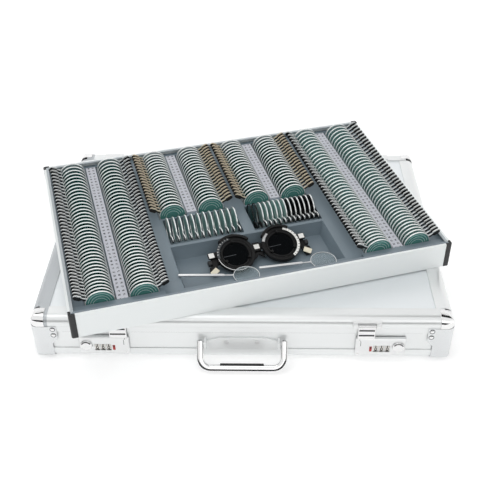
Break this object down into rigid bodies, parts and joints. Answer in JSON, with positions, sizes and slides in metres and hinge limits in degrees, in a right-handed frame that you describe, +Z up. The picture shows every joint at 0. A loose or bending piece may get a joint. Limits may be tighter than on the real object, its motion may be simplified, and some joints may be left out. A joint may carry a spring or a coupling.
{
  "type": "trial lens case",
  "caption": "Closed aluminium case with corner caps, two combination locks and a bail handle, with its open tray of tabbed trial lenses and a trial frame lying turned on the lid.",
  "frame": {"origin": "centre of the case's footprint, on the table plane under its four corner caps", "axes": "+X to the right along the case's long side, +Y from the front with the locks and handle to the hinges at the back, +Z up"},
  "size_m": [0.5818, 0.4732, 0.1205],
  "materials": {
    "shell_aluminium": "brushed sheet",
    "lid_panel_aluminium": "fine brushed light grey-blue sheet",
    "edge_aluminium": "anodised profile",
    "polished_steel": "plated, polished",
    "grip_rubber": "matt",
    "dark_plastic": "moulded",
    "lining_foam": "soft dark lining on foam",
    "tray_aluminium": "anodised",
    "tray_corner_plastic": "moulded",
    "insert_plastic": "thermoformed grey-blue",
    "label_card": "pale lilac-grey printed strip",
    "lens_silver": "bright rims round dark teal glass",
    "lens_brass": "gilt rims and tabs round dark teal glass",
    "frame_black": "satin black",
    "cross_glass": "clear glass in a bright rim on a rod"
  },
  "bodies": {
    "base": {"base_wall_panels": "shell_aluminium", "base_floor_panel": "shell_aluminium", "base_bottom_edges": "shell_aluminium", "base_rim_edges": "shell_aluminium", "base_corner_caps": "polished_steel", "base_cap_rivets": "polished_steel", "base_lining": "lining_foam", "hinge_base_leaves": "polished_steel", "hinge_pins": "polished_steel", "lock_case_right": "polished_steel", "lock_case_left": "polished_steel", "lock_axles": "polished_steel", "handle_plate": "polished_steel", "handle_screws": "polished_steel"},
    "lid": {"lid_edges": "edge_aluminium", "lid_top_panel": "lid_panel_aluminium", "lid_lining": "lining_foam", "lid_corner_caps": "polished_steel", "hinge_lid_straps": "polished_steel", "hasp_brackets": "polished_steel"},
    "hasp_right_body": {"hasp_right": "polished_steel"},
    "hasp_left_body": {"hasp_left": "polished_steel"},
    "button_right_body": {"lock_button_right": "polished_steel"},
    "button_left_body": {"lock_button_left": "polished_steel"},
    "handle": {"handle_bail": "polished_steel", "handle_grip": "grip_rubber"},
    "tray": {"tray_rails": "tray_aluminium", "tray_corners": "tray_corner_plastic", "tray_board": "tray_aluminium", "tray_insert": "insert_plastic", "label_strips": "label_card", "sphere_lenses_1": "lens_silver", "sphere_lenses_2": "lens_silver", "sphere_lenses_3": "lens_silver", "sphere_lenses_4": "lens_silver", "cylinder_lenses_left": "lens_brass", "cylinder_lenses_right": "lens_brass", "prism_lenses": "lens_silver", "accessory_lenses": "lens_silver"},
    "loose_lens_body": {"loose_lens": "lens_silver"},
    "cross_left_body": {"cross_cylinder_left": "cross_glass"},
    "cross_right_body": {"cross_cylinder_right": "cross_glass"},
    "trial_frame": {"frame_bar": "frame_black", "frame_nose_rest": "frame_black"},
    "dial_right_1_body": {"dial_right_1": "dark_plastic"},
    "dial_right_2_body": {"dial_right_2": "dark_plastic"},
    "dial_right_3_body": {"dial_right_3": "dark_plastic"},
    "dial_left_1_body": {"dial_left_1": "dark_plastic"},
    "dial_left_2_body": {"dial_left_2": "dark_plastic"},
    "dial_left_3_body": {"dial_left_3": "dark_plastic"},
    "eye_right_body": {"eye_frame_right": "frame_black"},
    "cell_right_body": {"axis_cell_right": "frame_black"},
    "temple_right_body": {"temple_right": "frame_black"},
    "knob_right_body": {"pd_knob_right": "frame_black"},
    "eye_left_body": {"eye_frame_left": "frame_black"},
    "cell_left_body": {"axis_cell_left": "frame_black"},
    "temple_left_body": {"temple_left": "frame_black"},
    "knob_left_body": {"pd_knob_left": "frame_black"}
  },
  "joints": [
    {"name": "lid_hinge", "type": "hinge", "parent": "base", "child": "lid", "pos_m": [0, 0.2019, 0.056], "axis": [-1, 0, 0], "range_deg": [0, 95]},
    {"name": "hasp_right_hinge", "type": "hinge", "parent": "lid", "child": "hasp_right_body", "pos_m": [0.1575, -0.2026, 0.062], "axis": [-1, 0, 0], "range_deg": [0, 95]},
    {"name": "button_right_push", "type": "slide", "parent": "base", "child": "button_right_body", "axis": [0, 1, 0], "range_m": [0, 0.0025], "stiffness_N_per_m": 400},
    {"name": "dial_right_1_turn", "type": "hinge", "parent": "base", "child": "dial_right_1_body", "pos_m": [0.171, -0.1974, 0.0242], "axis": [1, 0, 0], "continuous": true},
    {"name": "dial_right_2_turn", "type": "hinge", "parent": "base", "child": "dial_right_2_body", "pos_m": [0.1784, -0.1974, 0.0242], "axis": [1, 0, 0], "continuous": true},
    {"name": "dial_right_3_turn", "type": "hinge", "parent": "base", "child": "dial_right_3_body", "pos_m": [0.1858, -0.1974, 0.0242], "axis": [1, 0, 0], "continuous": true},
    {"name": "hasp_left_hinge", "type": "hinge", "parent": "lid", "child": "hasp_left_body", "pos_m": [-0.1575, -0.2026, 0.062], "axis": [-1, 0, 0], "range_deg": [0, 95]},
    {"name": "button_left_push", "type": "slide", "parent": "base", "child": "button_left_body", "axis": [0, 1, 0], "range_m": [0, 0.0025], "stiffness_N_per_m": 400},
    {"name": "dial_left_1_turn", "type": "hinge", "parent": "base", "child": "dial_left_1_body", "pos_m": [-0.171, -0.1974, 0.0242], "axis": [1, 0, 0], "continuous": true},
    {"name": "dial_left_2_turn", "type": "hinge", "parent": "base", "child": "dial_left_2_body", "pos_m": [-0.1784, -0.1974, 0.0242], "axis": [1, 0, 0], "continuous": true},
    {"name": "dial_left_3_turn", "type": "hinge", "parent": "base", "child": "dial_left_3_body", "pos_m": [-0.1858, -0.1974, 0.0242], "axis": [1, 0, 0], "continuous": true},
    {"name": "handle_swing", "type": "hinge", "parent": "base", "child": "handle", "pos_m": [0, -0.204, 0.0326], "axis": [-1, 0, 0], "range_deg": [-30, 115]},
    {"name": "tray_lift", "type": "slide", "parent": "lid", "child": "tray", "axis": [0, 0, 1], "range_m": [0, 0.15]},
    {"name": "loose_lens_lift", "type": "slide", "parent": "tray", "child": "loose_lens_body", "axis": [0, 0, 1], "range_m": [0, 0.08]},
    {"name": "trial_frame_lift", "type": "slide", "parent": "tray", "child": "trial_frame", "axis": [0, 0, 1], "range_m": [0, 0.25]},
    {"name": "cross_left_lift", "type": "slide", "parent": "tray", "child": "cross_left_body", "axis": [0, 0, 1], "range_m": [0, 0.1]},
    {"name": "cross_right_lift", "type": "slide", "parent": "tray", "child": "cross_right_body", "axis": [0, 0, 1], "range_m": [0, 0.1]},
    {"name": "eye_right_slide", "type": "slide", "parent": "trial_frame", "child": "eye_right_body", "axis": [0.9367, 0.3502, 0], "range_m": [-0.006, 0.006]},
    {"name": "cell_right_turn", "type": "hinge", "parent": "eye_right_body", "child": "cell_right_body", "pos_m": [0.05081, -0.07857, 0.09784], "axis": [0.1312, -0.3509, 0.9272], "continuous": true},
    {"name": "knob_right_turn", "type": "hinge", "parent": "trial_frame", "child": "knob_right_body", "pos_m": [0.08241, -0.06601, 0.08917], "axis": [0.9367, 0.3502, 0], "range_deg": [-545, 545]},
    {"name": "temple_right_fold", "type": "hinge", "parent": "trial_frame", "child": "temple_right_body", "pos_m": [0.07587, -0.06565, 0.08775], "axis": [0.3247, -0.8685, -0.3746], "range_deg": [0, 88]},
    {"name": "eye_left_slide", "type": "slide", "parent": "trial_frame", "child": "eye_left_body", "axis": [0.9367, 0.3502, 0], "range_m": [-0.006, 0.006]},
    {"name": "cell_left_turn", "type": "hinge", "parent": "eye_left_body", "child": "cell_left_body", "pos_m": [-0.00914, -0.10098, 0.09784], "axis": [0.1312, -0.3509, 0.9272], "continuous": true},
    {"name": "knob_left_turn", "type": "hinge", "parent": "trial_frame", "child": "knob_left_body", "pos_m": [-0.04123, -0.11223, 0.08917], "axis": [0.9367, 0.3502, 0], "range_deg": [-545, 545]},
    {"name": "temple_left_fold", "type": "hinge", "parent": "trial_frame", "child": "temple_left_body", "pos_m": [-0.03948, -0.09977, 0.09116], "axis": [-0.3247, 0.8685, 0.3746], "range_deg": [0, 88]}
  ],
  "couplings": [
    {"joint": "knob_right_turn", "follows": "eye_right_slide", "rad_per_m": 1570.8},
    {"joint": "temple_right_fold", "follows": "trial_frame_lift", "rad_per_m": 6.1426},
    {"joint": "knob_left_turn", "follows": "eye_left_slide", "rad_per_m": 1570.8},
    {"joint": "temple_left_fold", "follows": "trial_frame_lift", "rad_per_m": 6.1426}
  ]
}
